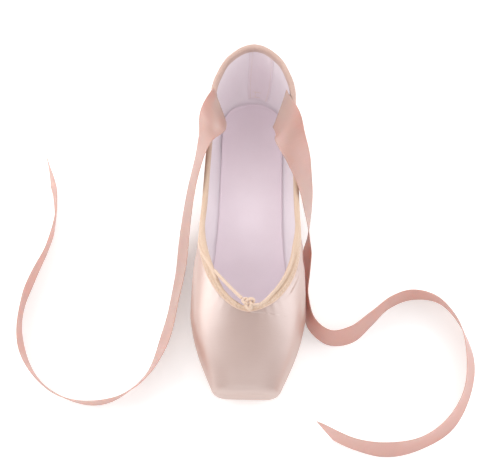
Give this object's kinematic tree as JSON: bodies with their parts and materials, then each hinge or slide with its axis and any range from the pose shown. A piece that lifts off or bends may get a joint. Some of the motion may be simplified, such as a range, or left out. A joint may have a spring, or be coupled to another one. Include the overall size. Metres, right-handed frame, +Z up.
{
  "type": "pointe shoe",
  "caption": "Satin ballet pointe shoe with a flat platform toe, a gathered drawstring collar and two loose ankle ribbons.",
  "frame": {"origin": "on the floor under the middle of the shoe, ribbons and drawstring left out", "axes": "+Z up, -Y from heel to toe, +X to the right when seen from the toe end, across the shoe"},
  "size_m": [0.313, 0.2818, 0.0579],
  "materials": {
    "sole_leather": "undyed split leather, matt",
    "satin": "pale pink satin with a soft lengthwise gloss",
    "insole_cloth": "off-white cloth-faced board with a lilac cast",
    "binding_cloth": "peach cotton tape, gathered",
    "ribbon_satin": "pink satin ribbon with a fine edge",
    "drawstring_cotton": "thin pale cotton cord"
  },
  "bodies": {
    "root": {"outsole": "sole_leather", "upper": "satin", "insole": "insole_cloth", "binding": "binding_cloth", "ribbon_left": "ribbon_satin", "ribbon_right": "ribbon_satin", "drawstring": "drawstring_cotton", "drawstring_knot": "drawstring_cotton"}
  },
  "joints": []
}
